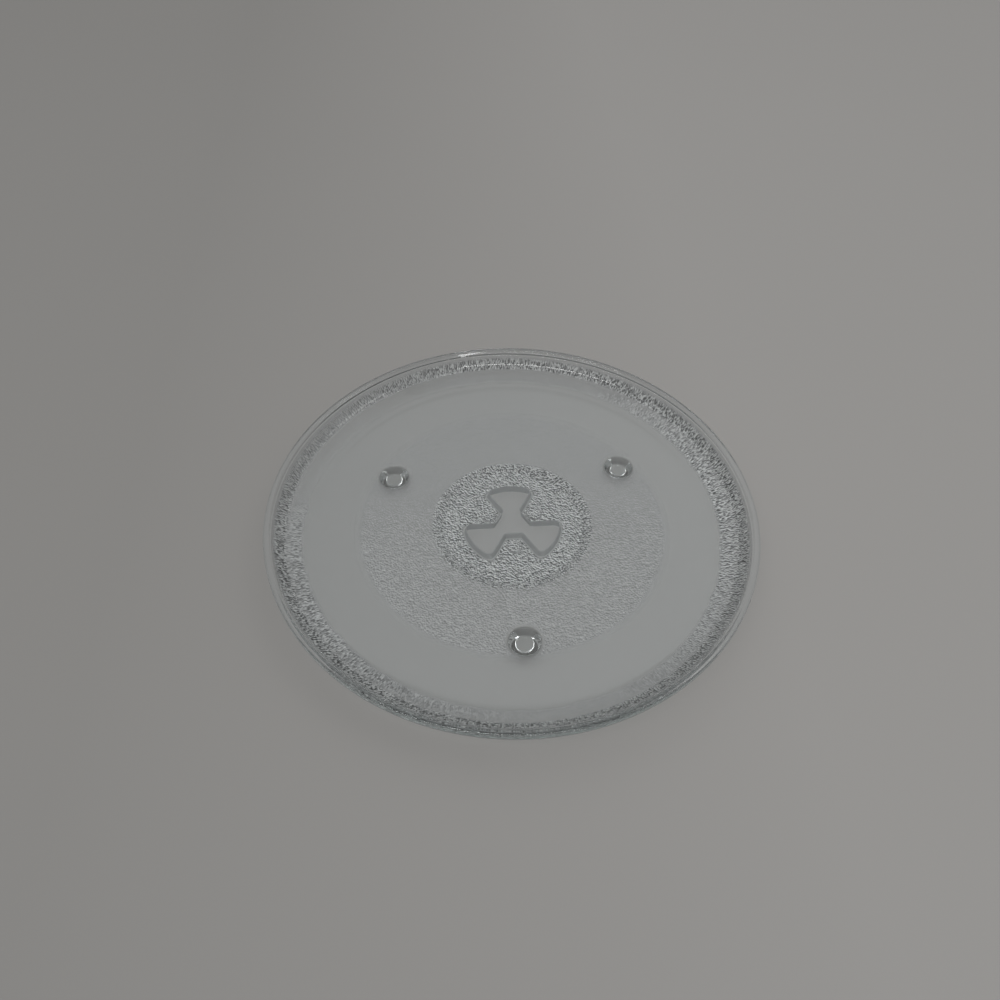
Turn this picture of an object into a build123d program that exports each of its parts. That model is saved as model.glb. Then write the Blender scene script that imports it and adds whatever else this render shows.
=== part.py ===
"""Microwave oven turntable plate: one solid of pressed glass, in millimetres.

The plate stands on its three feet at z = 0, with its axis on Z. One foot and one drive lug
point along -Y; the other two of each follow at 120 degree steps.
"""
from build123d import *

import math
import os

# Overall sizes
PLATE_D = 270.0         # across the lip
PLATE_H = 22.5          # from the feet to the top of the lip
FLOOR_T = 5.0           # glass in the flat floor
FOOT_H = 6.0            # floor underside above the table

# Wall and lip
WALL_RUN = 7.0          # steep upper wall across, from the lip in to the bend
FLARE_RUN = 12.5        # gentle lower wall across, from the bend in to the flat of the floor
FLARE_RISE = 4.5        # bend above the flat of the floor
WALL_BEND_R = 6.0       # rounding of the bend inside the dish
FLOOR_BEND_R = 20.0     # rounding where the lower wall leaves the floor
LIP_W = 3.0             # lip across its top
LIP_H = 4.4             # outer face of the lip
LIP_LEDGE = 2.4         # lip standing out past the wall below it
LIP_OUT_R = 1.4         # rounding of the lip's outer top edge
LIP_IN_R = 1.2          # rounding where the lip turns down into the dish
LIP_LOW_R = 1.0         # rounding of the lip's lower edge and of its root

# Underside rings
WALL_HEEL = 2.0         # underside stays flat this far out past the flat of the floor
HEEL_OUT = 1.2          # bend of the underside, outside the bend of the dish
HEEL_T = 4.6            # glass between the two bends, upright
HEEL_BEND_R = 6.0       # rounding of the bend of the underside
TRACK_BEND_R = 12.0     # rounding where the underside leaves the flat
TRACK_W = 25.5          # smooth roller track across
FIELD_STEP = 0.2        # stippled field inside the track, proud of the track
FIELD_RAMP = 1.5        # slope across, from the field up to the track

# Centre boss
BOSS_R = 44.5           # at the floor
BOSS_LEAN = 5.5         # narrower at its lower face
BOSS_CLEAR = 1.0        # lower face above the table
BOSS_ROOT_R = 3.0       # rounding where the boss meets the floor
BOSS_EDGE_R = 2.5       # rounding of its lower edge

# Three-lobed coupling recess
LOBE_R = 27.6           # reach of the lobes at the mouth
CEILING_T = 4.0         # glass left above the recess
RECESS_DRAFT = 8.0      # degrees
LOBE_CORNER_R = 4.0
LUG_NOSE_R = 9.2        # axis to the flat nose of each drive lug
LUG_NOSE_W = 9.0
LUG_SPLAY = 30.0        # degrees that each side of a lug leans from its radius
LUG_CORNER_R = 1.2
CEILING_R = 0.6         # rounding where the recess walls meet its ceiling
MOUTH_R = 0.5           # rounding of the recess mouth

# Round seat in each drive lug
SEAT_D = 8.4
SEAT_DEPTH = 1.5
SEAT_INSET = 5.8        # seat's centre behind the nose of its lug
SEAT_DRAFT = 12.0       # degrees

# Feet
FOOT_INSET = 12.0       # foot's centre inside the roller track
FOOT_BASE_D = 16.8
FOOT_FLAT_D = 9.0
FOOT_EDGE_R = 1.6
FOOT_ROOT_R = 1.2

# Pattern of feet and lugs
COUNT = 3
FIRST_ANGLE = -90.0

# Heights and radii that follow from the sizes above
LIP_R = PLATE_D / 2
UNDER_Z = FOOT_H
TOP_Z = UNDER_Z + FLOOR_T
FIELD_Z = UNDER_Z - FIELD_STEP
BOSS_Z = BOSS_CLEAR
CEILING_Z = TOP_Z - CEILING_T
LIP_LOW_Z = PLATE_H - LIP_H
WALL_IN_R = LIP_R - LIP_W
WALL_OUT_R = LIP_R - LIP_LEDGE
BEND_R = WALL_IN_R - WALL_RUN
BEND_Z = TOP_Z + FLARE_RISE
FLOOR_R = BEND_R - FLARE_RUN
HEEL_R = BEND_R + HEEL_OUT
HEEL_Z = BEND_Z - HEEL_T
TRACK_OUT_R = FLOOR_R + WALL_HEEL
TRACK_IN_R = TRACK_OUT_R - TRACK_W
BOSS_FACE_R = BOSS_R - BOSS_LEAN
FOOT_PITCH_R = TRACK_IN_R - FOOT_INSET
SEAT_PITCH_R = LUG_NOSE_R + SEAT_INSET
TOL = 0.01


def corner(vertices, radius, height):
    """The corner of the plate's section at this radius and height."""
    return vertices.sort_by_distance((radius, height))[0]


def at_height(shapes, height):
    """Edges or faces that lie flat at this height."""
    return shapes.filter_by_position(Axis.Z, height - TOL, height + TOL)


# One foot: a blunt cone with a rounded end
with BuildPart() as foot:
    Cone(FOOT_FLAT_D / 2, FOOT_BASE_D / 2, FIELD_Z, align=(Align.CENTER, Align.CENTER, Align.MIN))
    fillet(at_height(foot.edges(), 0), FOOT_EDGE_R)

with BuildPart() as plate:
    # Section of floor, wall, lip and solid boss, with the soft corners left by the mould
    with BuildSketch(Plane.XZ) as section:
        with BuildLine():
            Polyline(
                (FLOOR_R, TOP_Z),
                (0, TOP_Z),
                (0, BOSS_Z),
                (BOSS_FACE_R, BOSS_Z),
                (BOSS_R, FIELD_Z),
                (TRACK_IN_R, FIELD_Z),
                (TRACK_IN_R + FIELD_RAMP, UNDER_Z),
                (TRACK_OUT_R, UNDER_Z),
                (HEEL_R, HEEL_Z),
                (WALL_OUT_R, LIP_LOW_Z),
                (LIP_R, LIP_LOW_Z),
                (LIP_R, PLATE_H),
                (WALL_IN_R, PLATE_H),
                (BEND_R, BEND_Z),
                close=True,
            )
        make_face()
        fillet(corner(section.vertices(), FLOOR_R, TOP_Z), FLOOR_BEND_R)
        fillet(corner(section.vertices(), BEND_R, BEND_Z), WALL_BEND_R)
        fillet(corner(section.vertices(), TRACK_OUT_R, UNDER_Z), TRACK_BEND_R)
        fillet(corner(section.vertices(), HEEL_R, HEEL_Z), HEEL_BEND_R)
        fillet(corner(section.vertices(), LIP_R, PLATE_H), LIP_OUT_R)
        fillet(corner(section.vertices(), WALL_IN_R, PLATE_H), LIP_IN_R)
        fillet(corner(section.vertices(), LIP_R, LIP_LOW_Z), LIP_LOW_R)
        fillet(corner(section.vertices(), WALL_OUT_R, LIP_LOW_Z), LIP_LOW_R)
        fillet(corner(section.vertices(), BOSS_R, FIELD_Z), BOSS_ROOT_R)
        fillet(corner(section.vertices(), BOSS_FACE_R, BOSS_Z), BOSS_EDGE_R)
    revolve(axis=Axis.Z)

    # Three feet on the stippled field
    with PolarLocations(FOOT_PITCH_R, COUNT, FIRST_ANGLE):
        add(foot.part)
    roots = plate.edges().filter_by(GeomType.CIRCLE)
    fillet(roots.filter_by(lambda edge: abs(edge.radius - FOOT_BASE_D / 2) < TOL), FOOT_ROOT_R)

    # Coupling recess: a drafted round pocket that leaves three drive lugs standing
    lug_end = LOBE_R + LOBE_CORNER_R
    lug_end_w = LUG_NOSE_W + 2 * (lug_end - LUG_NOSE_R) * math.tan(math.radians(LUG_SPLAY))
    with BuildSketch(Plane.XY.offset(BOSS_Z)) as mouth:
        with PolarLocations(0, 1, FIRST_ANGLE):
            Circle(LOBE_R)
        with PolarLocations(0, COUNT, FIRST_ANGLE):
            Polygon(
                (LUG_NOSE_R, -LUG_NOSE_W / 2),
                (lug_end, -lug_end_w / 2),
                (lug_end, lug_end_w / 2),
                (LUG_NOSE_R, LUG_NOSE_W / 2),
                align=None,
                mode=Mode.SUBTRACT,
            )
        by_reach = mouth.vertices().group_by(lambda vertex: round(math.hypot(vertex.X, vertex.Y), 2))
        fillet(by_reach[-1], LOBE_CORNER_R)
        by_reach = mouth.vertices().group_by(lambda vertex: round(math.hypot(vertex.X, vertex.Y), 2))
        fillet(by_reach[0], LUG_CORNER_R)
    extrude(amount=CEILING_Z - BOSS_Z, taper=RECESS_DRAFT, mode=Mode.SUBTRACT)
    fillet(at_height(plate.edges(), CEILING_Z), CEILING_R)
    boss_face = at_height(plate.faces(), BOSS_Z)[0]
    fillet(boss_face.inner_wires().edges(), MOUTH_R)

    # Round seats in the lugs
    seat_top_d = SEAT_D - 2 * SEAT_DEPTH * math.tan(math.radians(SEAT_DRAFT))
    with Locations((0, 0, BOSS_Z)):
        with PolarLocations(SEAT_PITCH_R, COUNT, FIRST_ANGLE):
            Cone(
                SEAT_D / 2,
                seat_top_d / 2,
                SEAT_DEPTH,
                align=(Align.CENTER, Align.CENTER, Align.MIN),
                mode=Mode.SUBTRACT,
            )

plate.part.label = "turntable_plate"
os.makedirs("parts", exist_ok=True)
export_step(plate.part, "parts/turntable_plate.step")
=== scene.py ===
"""Microwave turntable plate of clear pressed glass, for its render and as a mesh.

The plate is one closed mesh with the sizes of the solid that it stands for. Its rounded edges and
the stipple of its underside are real geometry. Lengths are millimetres until the mesh is finished,
and metres for the floor, the lights and the camera. Angles are degrees.
"""
import math
import random

import bmesh
import bpy
from mathutils import Matrix, Vector, noise
from mathutils.geometry import delaunay_2d_cdt


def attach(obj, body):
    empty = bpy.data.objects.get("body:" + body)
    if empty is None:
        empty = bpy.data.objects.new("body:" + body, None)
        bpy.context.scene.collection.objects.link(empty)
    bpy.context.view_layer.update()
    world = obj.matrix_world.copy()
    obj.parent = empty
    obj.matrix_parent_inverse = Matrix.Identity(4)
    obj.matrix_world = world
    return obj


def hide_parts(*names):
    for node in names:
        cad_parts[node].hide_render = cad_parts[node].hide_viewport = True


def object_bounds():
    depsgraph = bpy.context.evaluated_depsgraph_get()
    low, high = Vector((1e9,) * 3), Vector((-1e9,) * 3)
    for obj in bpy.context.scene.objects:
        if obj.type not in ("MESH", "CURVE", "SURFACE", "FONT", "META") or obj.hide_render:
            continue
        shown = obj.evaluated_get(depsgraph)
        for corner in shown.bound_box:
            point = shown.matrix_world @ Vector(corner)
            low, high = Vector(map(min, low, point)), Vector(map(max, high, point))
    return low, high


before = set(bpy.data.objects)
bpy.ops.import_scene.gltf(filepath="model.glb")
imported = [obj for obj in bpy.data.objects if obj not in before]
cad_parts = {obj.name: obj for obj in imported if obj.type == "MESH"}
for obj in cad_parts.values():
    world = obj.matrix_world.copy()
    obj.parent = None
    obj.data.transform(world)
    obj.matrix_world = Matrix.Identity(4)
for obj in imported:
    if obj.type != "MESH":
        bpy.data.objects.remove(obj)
cad_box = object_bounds()

MM = 0.001
SEED = 11

# Overall sizes, from the frame and as in the solid
PLATE_R = (cad_box[1][0] - cad_box[0][0]) / 2 / MM
PLATE_H = cad_box[1][2] / MM
FLOOR_T = 5.0
FOOT_H = 6.0

# Wall and lip
WALL_RUN = 7.0
FLARE_RUN = 12.5
FLARE_RISE = 4.5
WALL_BEND_R = 6.0
FLOOR_BEND_R = 20.0
LIP_W = 3.0
LIP_H = 4.4
LIP_LEDGE = 2.4
LIP_OUT_R = 1.4
LIP_IN_R = 1.2
LIP_LOW_R = 1.0

# Underside rings
WALL_HEEL = 2.0
HEEL_OUT = 1.2
HEEL_T = 4.6
HEEL_BEND_R = 6.0
TRACK_BEND_R = 12.0
TRACK_W = 25.5
FIELD_STEP = 0.2
FIELD_RAMP = 1.5

# Centre boss
BOSS_R = 44.5
BOSS_LEAN = 5.5
BOSS_CLEAR = 1.0
BOSS_ROOT_R = 3.0
BOSS_EDGE_R = 2.5

# Three-lobed coupling recess, with a round seat in each drive lug
LOBE_R = 27.6
CEILING_T = 4.0
RECESS_DRAFT = 8.0
LOBE_CORNER_R = 4.0
LUG_NOSE_R = 9.2
LUG_NOSE_W = 9.0
LUG_SPLAY = 30.0
LUG_CORNER_R = 1.2
CEILING_R = 0.6
MOUTH_R = 0.5
SEAT_D = 8.4
SEAT_DEPTH = 1.5
SEAT_INSET = 5.8
SEAT_DRAFT = 12.0

# Feet
FOOT_INSET = 12.0
FOOT_BASE_D = 16.8
FOOT_FLAT_D = 9.0
FOOT_EDGE_R = 1.6
FOOT_ROOT_R = 1.2

# Pattern of feet and lugs
COUNT = 3
FIRST_ANGLE = -90.0
ANGLES = [math.radians(FIRST_ANGLE + 360 / COUNT * i) for i in range(COUNT)]

# Heights and radii that follow from the sizes above
UNDER_Z = FOOT_H
TOP_Z = UNDER_Z + FLOOR_T
FIELD_Z = UNDER_Z - FIELD_STEP
BOSS_Z = BOSS_CLEAR
CEILING_Z = TOP_Z - CEILING_T
LIP_LOW_Z = PLATE_H - LIP_H
WALL_IN_R = PLATE_R - LIP_W
WALL_OUT_R = PLATE_R - LIP_LEDGE
BEND_R = WALL_IN_R - WALL_RUN
BEND_Z = TOP_Z + FLARE_RISE
FLOOR_R = BEND_R - FLARE_RUN
HEEL_R = BEND_R + HEEL_OUT
HEEL_Z = BEND_Z - HEEL_T
TRACK_OUT_R = FLOOR_R + WALL_HEEL
TRACK_IN_R = TRACK_OUT_R - TRACK_W
BOSS_FACE_R = BOSS_R - BOSS_LEAN
FOOT_PITCH_R = TRACK_IN_R - FOOT_INSET
SEAT_PITCH_R = LUG_NOSE_R + SEAT_INSET

# Fineness of the mesh: points in a ring, steps along a path and longest steps
RIM_SEGMENTS = 360
WALL_SEGMENTS = 1080
BOSS_SEGMENTS = 540
FOOT_SEGMENTS = 72
SEAT_SEGMENTS = 48
EDGE_STEPS = 6
SIDE_STEPS = 6
NOSE_STEPS = 5
LUG_SIDE_STEPS = 14
LOBE_STEPS = 30
WALL_STEP = 1.3
DISH_STEP = 3.0
FLAT_MARGIN = 6.0       # rings reach this far onto the flat of the track and of the floor
TRACK_MARGIN = 3.0      # rings of the wall start this far inside the edge of the track
MERGE_GAP = 1e-5        # points closer than this count as one
SHARP_ANGLE = 40.0      # edges that turn more than this are shaded as sharp

# Stipple: width of its pebbles, spacing of mesh points, how far it stands out and its share of grain
PEBBLE = 2.0
PEBBLE_REACH = 0.75     # middle to foot of a pebble, in pebble widths
FIELD_PITCH = 1.0
FIELD_RISE = 0.12
FIELD_GRAIN = 0.63
FIELD_LIGHT_FADE = 0.45       # share of the field's grain taken off at the back, a painted fade where the light shows it less
LIGHT_FADE_START_Y = -25.0
LIGHT_FADE_END_Y = 60.0
BOSS_PITCH = 0.5
BOSS_RISE = 0.2
BOSS_GRAIN = 1.0
WALL_PEBBLE = 1.7
WALL_STRETCH = 2.2      # pebbles of the wall, length up the wall over width
WALL_RISE = 0.15
JITTER = 0.25           # random shift of a mesh point, in spacings
LEAST_ROOM = 0.6        # from a mesh point to the edge of its face, in spacings

# Widths over which the stipple fades in at its edges
STIPPLE_FADE = 1.2
FIELD_FADE = 5.0
MOUTH_FADE = 0.5

# Waver of the stipple's inner edge on the wall
RAGGED_EDGE = 1.5
RAGGED_WAVES = 12.0

# Stipple round the wall: directions where it is strong and faint, and its shares there. Stronger and
# fainter by direction as the light falls: this sets the pebbles' height and their painted light and shade
STRONG_RIGHT = -5.0
STRONG_LEFT = -155.0
FAINT_SIDE = 140.0
LEAST_SHARE = 0.3
RIGHT_SHARE = 0.7
LEFT_SHARE = 0.5
FAINT_LIGHT_FADE = 0.7
FAINT_START = 0.8       # how far a side faces the faint direction where the fade starts and is full
FAINT_FULL = 0.95
STEEP_SHARE = 0.75

# Share of stipple on the wall, by radius
WALL_STIPPLE = (
    (TRACK_OUT_R + 1.5, 0.0),
    (TRACK_OUT_R + 3.0, 1.0),
    (BEND_R - 3.0, 1.0),
    (BEND_R, 0.85),
    (HEEL_R, 1.0),
    (WALL_OUT_R - 2.0, 1.0),
    (WALL_OUT_R - 0.6, 0.2),
)

# Matt share of the surface, where the stipple is strongest and on the walls of the recess
STIPPLE_FROST = 0.8
RECESS_FROST = 0.78

# Values kept on the points of the mesh: share of grain, matt share, and place in pebble widths
GRAIN = "grain"
FROST = "frost"
PLACE = "place"

# Glass
GLASS_IOR = 1.5
GLASS_BODY = (0.62, 0.88, 0.78)
BODY_DENSITY = 4.0
CLEAR_TINT = (0.935, 0.955, 0.97)
# Painted shade: tint of the clear share where the stipple's painted shade is darkest
SHADED_TINT = (0.66, 0.7, 0.71)
SMEAR_SCALE = 18.0
SMEAR_DETAIL = 3.0
SMEAR_SHADE = 0.04
CLEAR_ROUGHNESS = 0.005
STIPPLE_ROUGHNESS = 0.05
BUMP_HEIGHT = 0.0004    # metres

# Painted light and shade of the stipple, from 0 for pale to 1 for dark about a middle shade
FINE_PEBBLES = 2.0      # across one pebble of the mesh
# Painted highlight and shade: a lit and a shaded flank on each pebble, as if light fell from one side
PAINTED_FLANK_SHIFT = (0.1, 0.16, 0.0)
PAINTED_FLANK_GAIN = 2.4
# Painted glints and shade: a chance brightness for each pebble, moved towards pale
PAINTED_SPECK_GAIN = 0.65
PAINTED_SPECK_BIAS = -0.32
MIDDLE_SHADE = 0.5
# Colour of the matt share along the stipple's painted light and shade, from a painted glint to painted
# shade
FROST_RAMP = ((0.0, (1.0, 1.0, 1.0)), (MIDDLE_SHADE, (0.47, 0.475, 0.48)), (1.0, (0.03, 0.031, 0.032)))

# Lamp light that the glass lets through, by the upright part of its normal and by the stipple's shade
STEEP_RAMP = (
    (0.4, (0.75, 0.75, 0.75)),
    (0.47, (0.15, 0.15, 0.15)),
    (0.58, (0.15, 0.15, 0.15)),
    (0.66, (0.8, 0.8, 0.8)),
    (0.95, (0.975, 0.982, 0.986)),
)
DAPPLE_RAMP = ((0.0, (1.25, 1.25, 1.25)), (1.0, (0.75, 0.75, 0.75)))

# Table top, in metres, and its finish
TABLE_HALF = 4.0
TABLE_RAMP = ((0.0, (0.385, 0.378, 0.367)), (1.0, (0.535, 0.525, 0.512)))
TABLE_SPECULAR = 0.2
# Painted shade: the table is darker on the left, where less light falls
TABLE_SHADED_X = -0.22
TABLE_LIT_X = 0.14
TABLE_SHADE_ACROSS = 0.7
MOTTLE_SCALE = 7.0
MOTTLE_DETAIL = 4.0
MOTTLE_SHARE = 0.3

# Room light from the horizon up, and panels by name, azimuth, elevation, size in metres and watts
ROOM_RAMP = ((0.0, (0.08, 0.08, 0.079)), (1.0, (0.36, 0.357, 0.352)))
PANEL_DISTANCE = 3.0
PANELS = (
    ("panel_right", 6.0, 56.0, (1.2, 0.7), 5.0),
    ("panel_front", -108.0, 63.0, (2.8, 0.4), 23.0),
    ("panel_back", 84.0, 53.0, (4.4, 2.2), 10.0),
)
GLASS_BOUNCES = 24

# Camera, as the photograph was taken
CAMERA_LENS = 30.63
CAMERA_SENSOR = 36.0
CAMERA_NEAR = 0.01
CAMERA_DISTANCE = 0.46856
CAMERA_ELEVATION = 50.03
CAMERA_AZIMUTH = -96.4
CAMERA_ROLL = 2.21
CAMERA_SHIFT = (-0.01315, 0.00593)


def polar(radius, angle):
    """Point of the plane at this radius and angle."""
    return Vector((radius * math.cos(angle), radius * math.sin(angle)))


def smooth(low, high, value):
    """Soft step from 0 at low to 1 at high."""
    part = min(1.0, max(0.0, (value - low) / (high - low)))
    return part * part * (3 - 2 * part)


def sweep(start, end, steps):
    """Arms that turn from start to end about the origin, the short way round."""
    turn = math.atan2(start.cross(end), start.dot(end))
    return [Matrix.Rotation(turn * i / steps, 2) @ start for i in range(steps + 1)]


def round_corner(before, corner, after, radius, steps=EDGE_STEPS):
    """Points of the arc that rounds one corner of a path."""
    corner = Vector(corner)
    back = (Vector(before) - corner).normalized()
    on = (Vector(after) - corner).normalized()
    half = back.angle(on) / 2
    centre = corner + (back + on).normalized() * radius / math.sin(half)
    cut = radius / math.tan(half)
    return [centre + arm for arm in sweep(corner + back * cut - centre, corner + on * cut - centre, steps)]


def rounded(points, radii, step):
    """A path through these points with its inner corners rounded, in steps no longer than this."""
    points = [Vector(point) for point in points]
    bends = [points[:1]]
    for before, corner, after, radius in zip(points, points[1:], points[2:], radii):
        bends.append(round_corner(before, corner, after, radius))
    bends.append(points[-1:])
    path = []
    for bend, following in zip(bends, bends[1:]):
        path += bend
        pieces = math.ceil((following[0] - bend[-1]).length / step)
        path += [bend[-1].lerp(following[0], i / pieces) for i in range(1, pieces)]
    return path + bends[-1]


def outward(path, i):
    """Direction that faces out of the glass at a point of a path that runs out along the underside."""
    ahead = path[min(i + 1, len(path) - 1)] - path[max(i - 1, 0)]
    return Vector((ahead.y, -ahead.x)).normalized()


def pebble(point):
    """Height of the stipple, from 0 in the creases to 1 on a pebble. The point is in pebble widths."""
    nearest = noise.voronoi(point)[0][0]
    return max(0.0, 1 - (nearest / PEBBLE_REACH) ** 2)


def mark(bm, vert, place, grain):
    """Note a point's place in the stipple, its share of grain and the matt share that goes with it."""
    vert[bm.verts.layers.float_vector[PLACE]] = place
    vert[bm.verts.layers.float[GRAIN]] = grain
    vert[bm.verts.layers.float[FROST]] = grain * STIPPLE_FROST


def raise_pebble(bm, vert, out, place, rise, grain):
    """Move a point of the stipple out by its height there."""
    mark(bm, vert, place, grain)
    vert.co += out * rise * pebble(place)


def add_point(bm, x, y, z):
    """A point of smooth glass."""
    vert = bm.verts.new((x, y, z))
    mark(bm, vert, vert.co / PEBBLE, 0.0)
    return vert


def spin(bm, path, segments, centre=(0.0, 0.0)):
    """Rings of points: a path of radius and height turned about a vertical axis."""
    rings = []
    for point in path:
        ring = []
        for i in range(segments):
            place = polar(point[0], 2 * math.pi * i / segments)
            ring.append(add_point(bm, centre[0] + place.x, centre[1] + place.y, point[1]))
        rings.append(ring)
    return rings


def add_face(bm, verts):
    """A smooth-shaded face."""
    bm.faces.new(verts).smooth = True


def skin(bm, rings):
    """Quads between neighbouring rings."""
    for low, high in zip(rings, rings[1:]):
        for i, vert in enumerate(low):
            j = (i + 1) % len(low)
            add_face(bm, (vert, low[j], high[j], high[i]))


def stitch(bm, coarse, fine):
    """Triangles between two rings, one with several times the points of the other."""
    ratio = len(fine) // len(coarse)
    turn = (ratio + 1) // 2
    for i, vert in enumerate(coarse):
        after = coarse[(i + 1) % len(coarse)]
        edge = [fine[(i * ratio + k) % len(fine)] for k in range(ratio + 1)]
        for k in range(ratio):
            add_face(bm, (vert if k < turn else after, edge[k], edge[k + 1]))
        add_face(bm, (vert, edge[turn], after))


def scatter(reach, pitch, room, rng):
    """Loosely even points within reach of the axis that keep clear of the edges of their face."""
    points = []
    row_gap = pitch * math.sqrt(3) / 2
    rows = int(reach / row_gap) + 1
    columns = int(reach / pitch) + 1
    for j in range(-rows, rows + 1):
        for i in range(-columns, columns + 1):
            x = (i + (j % 2) / 2 + rng.uniform(-JITTER, JITTER)) * pitch
            y = j * row_gap + rng.uniform(-JITTER, JITTER) * pitch
            if room(x, y) > pitch * LEAST_ROOM:
                points.append((x, y))
    return points


def encloses(loop, x, y):
    """True if the loop goes round this point."""
    crossings = 0
    for here, there in zip(loop, loop[1:] + loop[:1]):
        a, b = here.co, there.co
        if (a.y > y) != (b.y > y) and x < a.x + (b.x - a.x) * (y - a.y) / (b.y - a.y):
            crossings += 1
    return crossings % 2 == 1


def stippled_face(bm, border, holes, points, smooth_edge, height, rise, grain_at):
    """A level face between a border and its holes, with pebbles that stand out below it."""
    verts = []
    edges = []
    hole_of = []
    for number, loop in enumerate([border] + holes):
        start = len(verts)
        edges += [(start + i, start + (i + 1) % len(loop)) for i in range(len(loop))]
        verts += loop
        hole_of += [number - 1] * len(loop)
    for x, y in points:
        vert = add_point(bm, x, y, height)
        fade = min(1.0, smooth_edge(x, y) / STIPPLE_FADE)
        raise_pebble(bm, vert, Vector((0, 0, -fade)), vert.co / PEBBLE, rise, grain_at(y) * fade)
        verts.append(vert)
        hole_of.append(-1)
    inside_border = 1
    found = delaunay_2d_cdt([vert.co.xy for vert in verts], edges, [], inside_border, MERGE_GAP)
    source = [ids[0] for ids in found[3]]
    for triangle in found[2]:
        corners = [source[i] for i in triangle]
        hole = hole_of[corners[0]]
        middle = sum((verts[i].co for i in corners), Vector()) / 3
        on_one_hole = hole >= 0 and all(hole_of[i] == hole for i in corners)
        if on_one_hole and encloses(holes[hole], middle.x, middle.y):
            continue
        add_face(bm, [verts[i] for i in corners])


def recess_outline(inset):
    """Outline of the three-lobed recess, moved this far in from its mouth."""
    splay = math.radians(LUG_SPLAY)
    lobe_r = LOBE_R - inset
    nose_x = LUG_NOSE_R - inset
    nose_y = LUG_NOSE_W / 2 + inset * (1 - math.sin(splay)) / math.cos(splay)
    along = Vector((math.cos(splay), math.sin(splay)))
    across = Vector((-math.sin(splay), math.cos(splay)))
    nose = Vector((nose_x, nose_y))

    # Rounded corner at the outer end of a lug's side
    corner_r = LOBE_CORNER_R - inset
    offset = nose.dot(across) + corner_r
    centre = across * offset + along * math.sqrt((lobe_r - corner_r) ** 2 - offset ** 2)
    arms = sweep(-across * corner_r, centre.normalized() * corner_r, 2 * EDGE_STEPS)
    outer = [centre + arm for arm in arms]

    # Half of a lug from the middle of its nose outwards
    inner = round_corner((nose_x, 0), nose, nose + along, LUG_CORNER_R + inset)
    half = [Vector((nose_x, 0)).lerp(inner[0], i / NOSE_STEPS) for i in range(NOSE_STEPS)]
    half += inner
    half += [inner[-1].lerp(outer[0], i / LUG_SIDE_STEPS) for i in range(1, LUG_SIDE_STEPS)]
    half += outer
    mirrored = [Vector((p.x, -p.y)) for p in reversed(half[1:])]

    # Each lug, then the end of the lobe that follows it
    turn = math.atan2(outer[-1].y, outer[-1].x)
    gap = 2 * math.pi / COUNT - 2 * turn
    outline = []
    for angle in ANGLES:
        lug = Matrix.Rotation(angle, 2)
        outline += [lug @ p for p in mirrored + half]
        outline += [polar(lobe_r, angle + turn + gap * i / LOBE_STEPS) for i in range(1, LOBE_STEPS)]
    return outline


def recess_room(x, y):
    """How far a point of the boss lies outside the mouth of the recess."""
    splay = math.radians(LUG_SPLAY)
    in_lug = -math.inf
    for angle in ANGLES:
        local = Matrix.Rotation(-angle, 2) @ Vector((x, y))
        ahead = local.x - LUG_NOSE_R
        beside = (LUG_NOSE_W / 2 + ahead * math.tan(splay) - abs(local.y)) * math.cos(splay)
        in_lug = max(in_lug, min(ahead, beside))
    return max(math.hypot(x, y) - LOBE_R, in_lug)


def along_wall(radius):
    """Share of stipple on the wall at this radius."""
    if radius <= WALL_STIPPLE[0][0]:
        return WALL_STIPPLE[0][1]
    for (near, start), (far, end) in zip(WALL_STIPPLE, WALL_STIPPLE[1:]):
        if radius <= far:
            return start + (end - start) * (radius - near) / (far - near)
    return WALL_STIPPLE[-1][1]


def facing(side, azimuth):
    """How far this side of the plate faces an azimuth: 1 straight towards it, 0 across it or away."""
    return max(0.0, side.dot(polar(1.0, math.radians(azimuth))))


def around_wall(side, radius):
    """Share of stipple on this side of the wall, strong and faint by direction as the light falls, in
    height and in painted light and shade. The steep upper part has much of it all round.
    """
    right = RIGHT_SHARE * facing(side, STRONG_RIGHT) ** 2
    left = LEFT_SHARE * facing(side, STRONG_LEFT) ** 2
    share = LEAST_SHARE + right + left
    # Painted light: the stipple fades on the side where the light hides it
    share *= 1 - FAINT_LIGHT_FADE * smooth(FAINT_START, FAINT_FULL, facing(side, FAINT_SIDE))
    return share + (1 - share) * STEEP_SHARE * smooth(BEND_R, HEEL_R, radius)


def stipple_wall(bm, rings, path):
    """Raise the pebbles of the wall, on rings that follow this path."""
    up_wall = 0.0
    for i, ring in enumerate(rings):
        point = path[i]
        up_wall += (point - path[max(i - 1, 0)]).length
        out = outward(path, i)
        waver = RAGGED_EDGE * smooth(BEND_R, TRACK_OUT_R, point.x)
        for vert in ring:
            side = vert.co.xy.normalized()
            edge = noise.noise(side.to_3d() * RAGGED_WAVES) * waver
            share = along_wall(point.x + edge) * around_wall(side, point.x)
            around = side * WALL_OUT_R
            place = Vector((around.x, around.y, up_wall / WALL_STRETCH)) / WALL_PEBBLE
            away = Vector((side.x * out.x, side.y * out.x, out.y)) * share
            raise_pebble(bm, vert, away, place, WALL_RISE, share)


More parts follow.
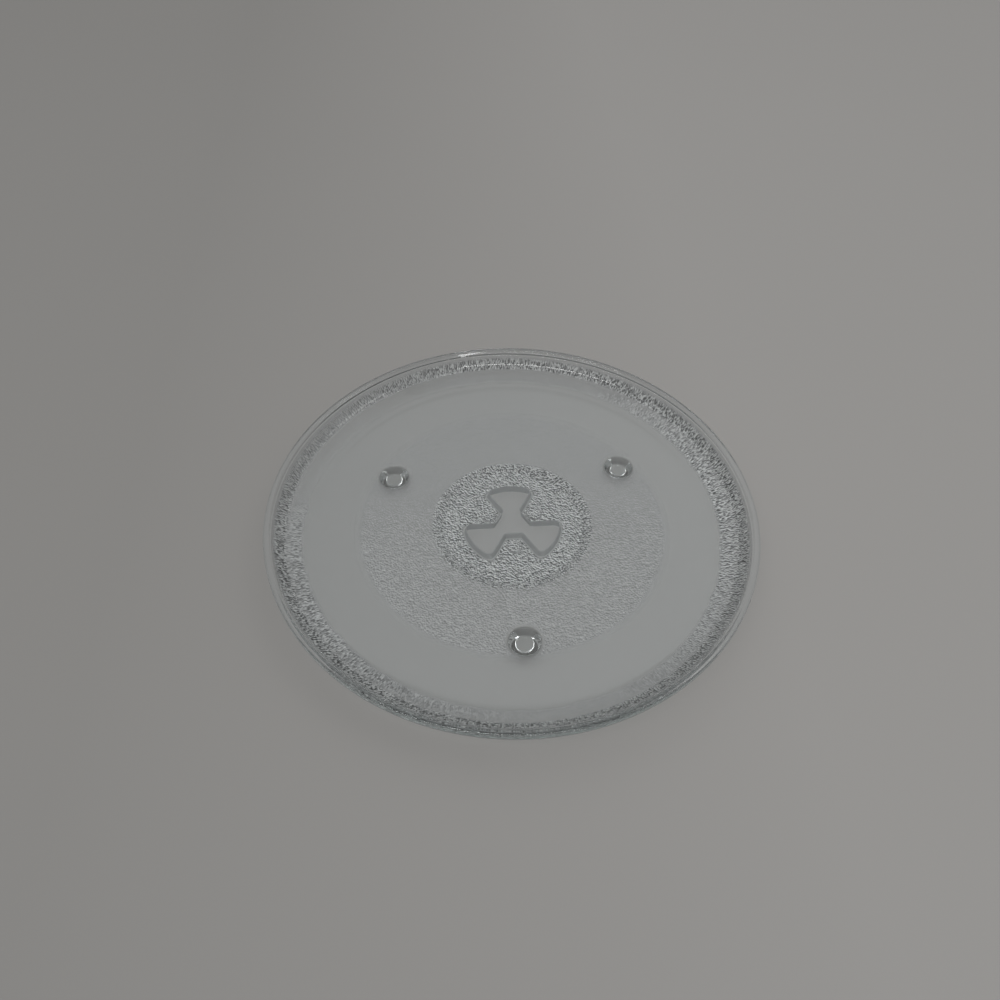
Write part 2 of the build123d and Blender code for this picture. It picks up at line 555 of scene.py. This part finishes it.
def build_rim(bm):
    """Track, stippled wall, lip and dish. Gives the ring that the field joins."""
    track_path = [(TRACK_IN_R, FIELD_Z), (TRACK_IN_R + FIELD_RAMP, UNDER_Z)]
    track_path.append((TRACK_IN_R + FIELD_RAMP + FLAT_MARGIN, UNDER_Z))
    track = spin(bm, track_path, RIM_SEGMENTS)

    track_end = (TRACK_OUT_R - TRACK_MARGIN, UNDER_Z)
    heel = (HEEL_R, HEEL_Z)
    wall_top = (WALL_OUT_R, LIP_LOW_Z)
    low = (PLATE_R, LIP_LOW_Z)
    high = (PLATE_R, PLATE_H)
    root = round_corner(heel, wall_top, low, LIP_LOW_R)
    bends = [track_end, (TRACK_OUT_R, UNDER_Z), heel, root[0]]
    wall_path = rounded(bends, [TRACK_BEND_R, HEEL_BEND_R], WALL_STEP)
    wall = spin(bm, wall_path, WALL_SEGMENTS)
    stipple_wall(bm, wall, wall_path)

    bends = [root[-1], low, high, (WALL_IN_R, PLATE_H), (BEND_R, BEND_Z), (FLOOR_R, TOP_Z)]
    bends.append((FLOOR_R - FLAT_MARGIN, TOP_Z))
    radii = [LIP_LOW_R, LIP_OUT_R, LIP_IN_R, WALL_BEND_R, FLOOR_BEND_R]
    lip = spin(bm, root[1:] + rounded(bends, radii, DISH_STEP)[1:], RIM_SEGMENTS)

    skin(bm, track)
    stitch(bm, track[-1], wall[0])
    skin(bm, wall)
    stitch(bm, lip[0], wall[-1])
    skin(bm, lip)
    add_face(bm, lip[-1])
    return track[0]


def build_foot(bm, angle):
    """One foot. Gives the ring where it meets the field."""
    base = (FOOT_BASE_D / 2, FIELD_Z)
    tip = (FOOT_FLAT_D / 2, 0.0)
    path = round_corner((FOOT_BASE_D, FIELD_Z), base, tip, FOOT_ROOT_R)
    path += round_corner(base, tip, (0.0, 0.0), FOOT_EDGE_R, 2 * EDGE_STEPS)
    rings = spin(bm, path, FOOT_SEGMENTS, polar(FOOT_PITCH_R, angle))
    skin(bm, rings)
    add_face(bm, rings[-1])
    return rings[0]


def field_grain(y):
    """Share of grain on the field: less towards the back, a painted fade that stands in for how the light
    shows the stipple there.
    """
    return FIELD_GRAIN * (1 - FIELD_LIGHT_FADE * smooth(LIGHT_FADE_START_Y, LIGHT_FADE_END_Y, y))


def build_boss_side(bm):
    """Sloping side of the boss. Gives the rings that join the field and the boss face."""
    root = (BOSS_R, FIELD_Z)
    edge = (BOSS_FACE_R, BOSS_Z)
    path = round_corner((TRACK_IN_R, FIELD_Z), root, edge, BOSS_ROOT_R)
    turn = round_corner(root, edge, (0.0, BOSS_Z), BOSS_EDGE_R)
    path += [path[-1].lerp(turn[0], i / SIDE_STEPS) for i in range(1, SIDE_STEPS)]
    path += turn
    rings = spin(bm, path, BOSS_SEGMENTS)
    for i, ring in enumerate(rings):
        out = -outward(path, i)
        fade = min(1.0, (path[i] - path[0]).length / STIPPLE_FADE)
        for vert in ring:
            side = vert.co.xy.normalized()
            near = field_grain(vert.co.y)
            grain = near + (BOSS_GRAIN - near) * fade
            away = Vector((side.x * out.x, side.y * out.x, out.y)) * fade
            raise_pebble(bm, vert, away, vert.co / PEBBLE, BOSS_RISE, grain)
    skin(bm, rings)
    return rings[0], rings[-1]


def build_recess(bm):
    """Walls and ceiling of the coupling recess. Gives the ring at its mouth."""
    depth = CEILING_Z - BOSS_Z
    mouth = (0.0, BOSS_Z)
    top = (depth * math.tan(math.radians(RECESS_DRAFT)), CEILING_Z)
    rows = round_corner((-LOBE_R, BOSS_Z), mouth, top, MOUTH_R)
    rows += round_corner(mouth, top, (LOBE_R, CEILING_Z), CEILING_R)
    rings = []
    for inset, height in rows:
        rings.append([add_point(bm, p.x, p.y, height) for p in recess_outline(inset)])
    for ring in rings[1:-1]:
        for vert in ring:
            vert[bm.verts.layers.float[FROST]] = RECESS_FROST
    skin(bm, rings)
    add_face(bm, rings[-1])
    return rings[0]


def build_seat(bm, angle):
    """Round seat in one drive lug. Gives the ring at its mouth."""
    top_r = SEAT_D / 2 - SEAT_DEPTH * math.tan(math.radians(SEAT_DRAFT))
    path = [(SEAT_D / 2, BOSS_Z), (top_r, BOSS_Z + SEAT_DEPTH)]
    rings = spin(bm, path, SEAT_SEGMENTS, polar(SEAT_PITCH_R, angle))
    for vert in rings[-1]:
        mark(bm, vert, vert.co / PEBBLE, BOSS_GRAIN)
    skin(bm, rings)
    add_face(bm, rings[-1])
    return rings[0]


def build_field(bm, border, boss_root, feet, rng):
    """Stippled field between the track, the boss and the feet."""
    root_r = boss_root[0].co.xy.length
    places = [polar(FOOT_PITCH_R, angle) for angle in ANGLES]
    foot_r = (feet[0][0].co.xy - places[0]).length

    def smooth_edge(x, y):
        to_feet = min(math.hypot(x - p.x, y - p.y) for p in places) - foot_r
        to_track = TRACK_IN_R - math.hypot(x, y)
        return min(to_track * STIPPLE_FADE / FIELD_FADE, to_feet)

    def room(x, y):
        return min(math.hypot(x, y) - root_r, smooth_edge(x, y))

    points = scatter(TRACK_IN_R, FIELD_PITCH, room, rng)
    holes = [boss_root] + feet
    stippled_face(bm, border, holes, points, smooth_edge, FIELD_Z, FIELD_RISE, field_grain)


def build_boss_face(bm, border, mouth, seats, rng):
    """Stippled lower face of the boss, round the recess and the seats."""
    face_r = border[0].co.xy.length
    places = [polar(SEAT_PITCH_R, angle) for angle in ANGLES]

    def mouth_room(x, y):
        return recess_room(x, y) - MOUTH_R

    def smooth_edge(x, y):
        return mouth_room(x, y) * STIPPLE_FADE / MOUTH_FADE

    def room(x, y):
        to_seats = min(math.hypot(x - p.x, y - p.y) for p in places) - SEAT_D / 2
        return min(face_r - math.hypot(x, y), mouth_room(x, y), to_seats)

    points = scatter(face_r, BOSS_PITCH, room, rng)
    holes = [mouth] + seats
    stippled_face(bm, border, holes, points, smooth_edge, BOSS_Z, BOSS_RISE, lambda _: BOSS_GRAIN)


def build_plate():
    """The whole plate as one closed mesh, in metres."""
    rng = random.Random(SEED)
    bm = bmesh.new()
    bm.verts.layers.float.new(GRAIN)
    bm.verts.layers.float.new(FROST)
    bm.verts.layers.float_vector.new(PLACE)
    field_edge = build_rim(bm)
    boss_root, boss_edge = build_boss_side(bm)
    feet = [build_foot(bm, angle) for angle in ANGLES]
    mouth = build_recess(bm)
    seats = [build_seat(bm, angle) for angle in ANGLES]
    build_field(bm, field_edge, boss_root, feet, rng)
    build_boss_face(bm, boss_edge, mouth, seats, rng)

    bmesh.ops.recalc_face_normals(bm, faces=bm.faces)
    bmesh.ops.scale(bm, vec=(MM, MM, MM), verts=bm.verts)
    mesh = bpy.data.meshes.new("glass_plate")
    bm.to_mesh(mesh)
    bm.free()
    mesh.set_sharp_from_angle(angle=math.radians(SHARP_ANGLE))
    plate = bpy.data.objects.new("glass_plate", mesh)
    bpy.context.scene.collection.objects.link(plate)
    return plate


def feed(tree, socket, source):
    """Link a socket to another node's output, or set it to a plain value."""
    if isinstance(source, bpy.types.NodeSocket):
        tree.links.new(source, socket)
    else:
        socket.default_value = source


def add_math(tree, operation, *sources):
    """Output of a math node that works on these outputs and plain values."""
    node = tree.nodes.new("ShaderNodeMath")
    node.operation = operation
    for socket, source in zip(node.inputs, sources):
        feed(tree, socket, source)
    return node.outputs["Value"]


def add_range(tree, source, start, end, low, high):
    """Output that runs from low to high while the source runs from start to end."""
    node = tree.nodes.new("ShaderNodeMapRange")
    sources = {"Value": source, "From Min": start, "From Max": end, "To Min": low, "To Max": high}
    for name, value in sources.items():
        feed(tree, node.inputs[name], value)
    return node.outputs["Result"]


def add_ramp(tree, source, stops):
    """Output of a colour ramp with these stops, each a position and a colour."""
    node = tree.nodes.new("ShaderNodeValToRGB")
    elements = node.color_ramp.elements
    for element, (position, colour) in zip(elements, (stops[0], stops[-1])):
        element.position = position
        element.color = (*colour, 1.0)
    for position, colour in stops[1:-1]:
        elements.new(position).color = (*colour, 1.0)
    tree.links.new(source, node.inputs["Fac"])
    return node.outputs["Color"]


def add_noise(tree, scale, detail):
    """A noise texture."""
    node = tree.nodes.new("ShaderNodeTexNoise")
    node.inputs["Scale"].default_value = scale
    node.inputs["Detail"].default_value = detail
    return node


def add_attribute(tree, name):
    """Outputs of a value kept on the points of the mesh."""
    node = tree.nodes.new("ShaderNodeAttribute")
    node.attribute_name = name
    return node.outputs


def add_pebbles(tree, place):
    """Outputs of the fine pebbles at this place."""
    node = tree.nodes.new("ShaderNodeTexVoronoi")
    node.inputs["Scale"].default_value = FINE_PEBBLES
    tree.links.new(place, node.inputs["Vector"])
    return node.outputs


def add_parts(tree, vector):
    """The X, Y and Z outputs of a vector."""
    node = tree.nodes.new("ShaderNodeSeparateXYZ")
    tree.links.new(vector, node.inputs["Vector"])
    return node.outputs


def stipple_shade(tree, grain, place, pebbles):
    """Painted light and shade of the stipple: each fine pebble has a lit and a shaded flank, and a chance
    brightness that stands in for its glints and dark spots.
    """
    beside = tree.nodes.new("ShaderNodeVectorMath")
    beside.operation = "ADD"
    beside.inputs[1].default_value = PAINTED_FLANK_SHIFT
    tree.links.new(place, beside.inputs[0])
    pebbles_beside = add_pebbles(tree, beside.outputs["Vector"])
    # Painted highlight and shade: pale on one flank of each pebble, dark on the other
    flank = add_math(tree, "SUBTRACT", pebbles_beside["Distance"], pebbles["Distance"])
    slope = add_math(tree, "MULTIPLY_ADD", flank, PAINTED_FLANK_GAIN, PAINTED_SPECK_BIAS)
    chance = tree.nodes.new("ShaderNodeSeparateColor")
    tree.links.new(pebbles["Color"], chance.inputs["Color"])
    speck = add_math(tree, "MULTIPLY_ADD", chance.outputs["Red"], PAINTED_SPECK_GAIN, slope)
    contrast = add_math(tree, "MULTIPLY", grain, grain)
    return add_math(tree, "MULTIPLY_ADD", speck, contrast, MIDDLE_SHADE)


def clear_glass(tree, grain, pebbles, shade):
    """Clear share of the surface: smears in its tint, darkened by the stipple's painted shade, with haze
    and bumps where it is stippled.
    """
    shader = tree.nodes["Principled BSDF"]
    shader.inputs["Transmission Weight"].default_value = 1.0
    shader.inputs["IOR"].default_value = GLASS_IOR

    coords = tree.nodes.new("ShaderNodeTexCoord")
    smears = add_noise(tree, SMEAR_SCALE, SMEAR_DETAIL)
    tree.links.new(coords.outputs["Object"], smears.inputs["Vector"])
    smear_shade = add_range(tree, smears.outputs["Fac"], 0.0, 1.0, 0.0, SMEAR_SHADE)
    # Painted shade: the tint darkens with the stipple's painted light and shade
    depth = add_math(tree, "ADD", smear_shade, shade)
    tint = add_ramp(tree, depth, ((MIDDLE_SHADE, CLEAR_TINT), (1.0, SHADED_TINT)))
    tree.links.new(tint, shader.inputs["Base Color"])

    haze = add_range(tree, grain, 0.0, 1.0, CLEAR_ROUGHNESS, STIPPLE_ROUGHNESS)
    tree.links.new(haze, shader.inputs["Roughness"])
    bump = tree.nodes.new("ShaderNodeBump")
    bump.invert = True
    bump.inputs["Distance"].default_value = BUMP_HEIGHT
    dome = add_math(tree, "MULTIPLY", pebbles["Distance"], pebbles["Distance"])
    tree.links.new(dome, bump.inputs["Height"])
    tree.links.new(grain, bump.inputs["Strength"])
    tree.links.new(bump.outputs["Normal"], shader.inputs["Normal"])
    return shader.outputs["BSDF"]


def frosted_glass(tree, shade):
    """Matt share of the surface, with the stipple's painted light and shade in its colour."""
    frost = tree.nodes.new("ShaderNodeBsdfDiffuse")
    tree.links.new(add_ramp(tree, shade, FROST_RAMP), frost.inputs["Color"])
    return frost.outputs["BSDF"]


def lit_through(tree, shade):
    """The glass to lamp light: it shines through to the table, least through steep parts."""
    surface = tree.nodes.new("ShaderNodeNewGeometry")
    upright = add_math(tree, "ABSOLUTE", add_parts(tree, surface.outputs["Normal"])["Z"])
    light = tree.nodes.new("ShaderNodeMix")
    light.data_type = "RGBA"
    light.blend_type = "MULTIPLY"
    light.inputs["Factor"].default_value = 1.0
    tree.links.new(add_ramp(tree, upright, STEEP_RAMP), light.inputs["A"])
    tree.links.new(add_ramp(tree, shade, DAPPLE_RAMP), light.inputs["B"])
    clear = tree.nodes.new("ShaderNodeBsdfTransparent")
    tree.links.new(light.outputs["Result"], clear.inputs["Color"])
    return clear.outputs["BSDF"]


def mix_shaders(tree, share, first, second):
    """Output of two shaders mixed, with this share of the second."""
    node = tree.nodes.new("ShaderNodeMixShader")
    for socket, source in zip(node.inputs, (share, first, second)):
        tree.links.new(source, socket)
    return node.outputs["Shader"]


def new_material(name):
    """A material with nodes."""
    material = bpy.data.materials.new(name)
    material.use_nodes = True
    return material


def pressed_glass():
    """Clear glass with a faint green body, soft smears and a matt grain on the stippled zones, whose pale
    and dark are painted glints and shade.
    """
    material = new_material("pressed_glass")
    tree = material.node_tree
    grain = add_attribute(tree, GRAIN)["Fac"]
    frost_share = add_attribute(tree, FROST)["Fac"]
    place = add_attribute(tree, PLACE)["Vector"]
    pebbles = add_pebbles(tree, place)
    shade = stipple_shade(tree, grain, place, pebbles)
    clear = clear_glass(tree, grain, pebbles, shade)
    seen = mix_shaders(tree, frost_share, clear, frosted_glass(tree, shade))

    # Rays that carry lamp light to the table go straight through
    path = tree.nodes.new("ShaderNodeLightPath").outputs
    lamp_ray = add_math(tree, "MAXIMUM", path["Is Shadow Ray"], path["Is Diffuse Ray"])
    surface = mix_shaders(tree, lamp_ray, seen, lit_through(tree, shade))
    tree.links.new(surface, tree.nodes["Material Output"].inputs["Surface"])

    body = tree.nodes.new("ShaderNodeVolumeAbsorption")
    body.inputs["Color"].default_value = (*GLASS_BODY, 1.0)
    body.inputs["Density"].default_value = BODY_DENSITY
    tree.links.new(body.outputs["Volume"], tree.nodes["Material Output"].inputs["Volume"])
    return material


def floor_finish():
    """Matte pale grey table top with a faint mottle and painted shade that makes it a little darker on the
    left.
    """
    material = new_material("pale_floor")
    tree = material.node_tree
    shader = tree.nodes["Principled BSDF"]
    shader.inputs["Roughness"].default_value = 1.0
    shader.inputs["Specular IOR Level"].default_value = TABLE_SPECULAR
    mottle = add_noise(tree, MOTTLE_SCALE, MOTTLE_DETAIL)
    coords = tree.nodes.new("ShaderNodeTexCoord")
    x = add_parts(tree, coords.outputs["Object"])["X"]
    # Painted shade: darker towards the left
    across = add_range(tree, x, TABLE_SHADED_X, TABLE_LIT_X, 0.0, TABLE_SHADE_ACROSS)
    shade = add_math(tree, "MULTIPLY_ADD", mottle.outputs["Fac"], MOTTLE_SHARE, across)
    tree.links.new(add_ramp(tree, shade, TABLE_RAMP), shader.inputs["Base Color"])
    return material


def build_floor():
    """Level floor that the plate stands on."""
    half = TABLE_HALF
    mesh = bpy.data.meshes.new("floor")
    corners = [(-half, -half, 0.0), (half, -half, 0.0), (half, half, 0.0), (-half, half, 0.0)]
    mesh.from_pydata(corners, [], [(0, 1, 2, 3)])
    mesh.materials.append(floor_finish())
    floor = bpy.data.objects.new("floor", mesh)
    bpy.context.scene.collection.objects.link(floor)


def direction(azimuth, elevation):
    """Unit vector towards this azimuth and elevation."""
    level = polar(math.cos(math.radians(elevation)), math.radians(azimuth))
    return Vector((level.x, level.y, math.sin(math.radians(elevation))))


def add_panel(name, azimuth, elevation, size, power):
    """Soft light panel that faces the plate from this direction."""
    data = bpy.data.lights.new(name, "AREA")
    data.shape = "RECTANGLE"
    data.size, data.size_y = size
    data.energy = power
    panel = bpy.data.objects.new(name, data)
    towards = direction(azimuth, elevation)
    panel.location = towards * PANEL_DISTANCE
    panel.rotation_euler = towards.to_track_quat("Z", "Y").to_euler()
    bpy.context.scene.collection.objects.link(panel)


def light_scene():
    """Soft room light, a small panel on the right, a strip in front and a broad panel behind."""
    world = bpy.data.worlds.new("room")
    world.use_nodes = True
    tree = world.node_tree
    coords = tree.nodes.new("ShaderNodeTexCoord")
    height = add_parts(tree, coords.outputs["Generated"])["Z"]
    tree.links.new(add_ramp(tree, height, ROOM_RAMP), tree.nodes["Background"].inputs["Color"])
    bpy.context.scene.world = world
    for panel in PANELS:
        add_panel(*panel)
    bpy.context.scene.view_settings.view_transform = "Standard"


def set_light_paths():
    """Enough bounces for thick glass, with sharp reflections and no caustics."""
    cycles = bpy.context.scene.cycles
    cycles.blur_glossy = 0.0
    cycles.caustics_reflective = False
    cycles.caustics_refractive = False
    cycles.max_bounces = GLASS_BOUNCES
    cycles.transmission_bounces = GLASS_BOUNCES


def add_camera():
    """Camera at the photograph's place, aimed at the middle of the rim."""
    roll = math.radians(CAMERA_ROLL)
    back = direction(CAMERA_AZIMUTH, CAMERA_ELEVATION)
    level = polar(1.0, math.radians(CAMERA_AZIMUTH))
    right = Vector((-level.y, level.x, 0.0))
    up = back.cross(right)
    x_axis = right * math.cos(roll) + up * math.sin(roll)
    y_axis = up * math.cos(roll) - right * math.sin(roll)
    data = bpy.data.cameras.new("camera")
    data.sensor_width = CAMERA_SENSOR
    data.lens = CAMERA_LENS
    data.shift_x, data.shift_y = CAMERA_SHIFT
    data.clip_start = CAMERA_NEAR
    camera = bpy.data.objects.new("camera", data)
    camera.matrix_world = Matrix((x_axis, y_axis, back)).transposed().to_4x4()
    camera.location = Vector((0.0, 0.0, PLATE_H * MM)) + back * CAMERA_DISTANCE
    bpy.context.scene.collection.objects.link(camera)
    bpy.context.scene.camera = camera


plate = build_plate()
plate.data.materials.append(pressed_glass())
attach(plate, "root")
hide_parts("turntable_plate")

build_floor()
light_scene()
set_light_paths()
add_camera()
